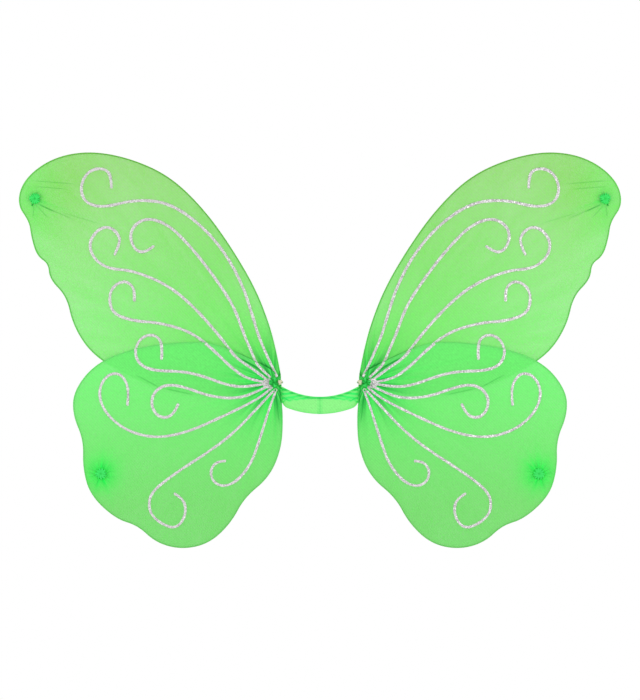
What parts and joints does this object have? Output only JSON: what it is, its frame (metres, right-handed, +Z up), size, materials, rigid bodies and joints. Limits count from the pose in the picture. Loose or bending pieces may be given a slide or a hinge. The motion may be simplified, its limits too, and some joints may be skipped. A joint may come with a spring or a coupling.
{
  "type": "fairy wings",
  "caption": "Butterfly-shaped dress-up wings: sheer green nylon over bent wire loops with silver glitter scrolls, joined by a soft sagging bridge with elastic shoulder loops.",
  "frame": {"origin": "middle of the flat back face of the bridge, which lies between the wearer's shoulder blades", "axes": "+X to the right seen from behind the wearer, along the wing span; +Y towards the wearer; +Z up"},
  "size_m": [0.6638, 0.1378, 0.4359],
  "materials": {
    "upper_nylon": "sheer stretch nylon knit, two layers, light yellow-green",
    "lower_nylon": "sheer stretch nylon knit, two layers, green",
    "bridge_nylon": "stretch nylon knit over wadding",
    "gathered_nylon": "the same nylon gathered and tied, deeper in colour",
    "coated_wire": "steel craft wire with a dark green coat",
    "glitter": "pale silver-lilac glitter in clear glue, dried matte and grainy",
    "thread": "green polyester thread",
    "elastic": "cream braided elastic",
    "padding": "white polyester wadding"
  },
  "bodies": {
    "bridge": {"bridge_sleeve": "bridge_nylon", "bridge_padding": "padding", "bridge_wire": "coated_wire", "left_shoulder_elastic": "elastic", "left_elastic_stitches": "thread", "right_shoulder_elastic": "elastic", "right_elastic_stitches": "thread"},
    "left_root": {"left_link_wire": "coated_wire", "left_root_tie": "elastic", "left_sleeve_end": "bridge_nylon", "left_root_tuft": "gathered_nylon", "left_tuft_thread": "thread"},
    "left_upper_wing": {"left_upper_wire_loop": "coated_wire", "left_upper_nylon_cover": "upper_nylon", "left_upper_glitter_scrolls": "glitter", "left_upper_rosette": "gathered_nylon", "left_upper_rosette_thread": "thread", "left_upper_root_binding": "thread"},
    "left_lower_wing": {"left_lower_wire_loop": "coated_wire", "left_lower_nylon_cover": "lower_nylon", "left_lower_glitter_scrolls": "glitter", "left_lower_rosette": "gathered_nylon", "left_lower_rosette_thread": "thread", "left_lower_root_binding": "thread"},
    "right_root": {"right_link_wire": "coated_wire", "right_root_tie": "elastic", "right_sleeve_end": "bridge_nylon", "right_root_tuft": "gathered_nylon", "right_tuft_thread": "thread"},
    "right_upper_wing": {"right_upper_wire_loop": "coated_wire", "right_upper_nylon_cover": "upper_nylon", "right_upper_glitter_scrolls": "glitter", "right_upper_rosette": "gathered_nylon", "right_upper_rosette_thread": "thread", "right_upper_root_binding": "thread"},
    "right_lower_wing": {"right_lower_wire_loop": "coated_wire", "right_lower_nylon_cover": "lower_nylon", "right_lower_glitter_scrolls": "glitter", "right_lower_rosette": "gathered_nylon", "right_lower_rosette_thread": "thread", "right_lower_root_binding": "thread"}
  },
  "joints": [
    {"name": "left_flap", "type": "hinge", "parent": "bridge", "child": "left_root", "pos_m": [-0.028, -0.0035, 0.0044], "axis": [0, 0, 1], "range_deg": [-15, 80]},
    {"name": "left_upper_fan", "type": "hinge", "parent": "left_root", "child": "left_upper_wing", "pos_m": [-0.051, -0.006, 0.0255], "axis": [0, 1, 0], "range_deg": [-10, 10]},
    {"name": "left_lower_fan", "type": "hinge", "parent": "left_root", "child": "left_lower_wing", "pos_m": [-0.051, -0.0099, 0.0255], "axis": [0, 1, 0], "range_deg": [-10, 10]},
    {"name": "right_flap", "type": "hinge", "parent": "bridge", "child": "right_root", "pos_m": [0.028, -0.0035, 0.0044], "axis": [0, 0, -1], "range_deg": [-15, 80]},
    {"name": "right_upper_fan", "type": "hinge", "parent": "right_root", "child": "right_upper_wing", "pos_m": [0.051, -0.006, 0.0255], "axis": [0, -1, 0], "range_deg": [-10, 10]},
    {"name": "right_lower_fan", "type": "hinge", "parent": "right_root", "child": "right_lower_wing", "pos_m": [0.051, -0.0099, 0.0255], "axis": [0, -1, 0], "range_deg": [-10, 10]}
  ]
}
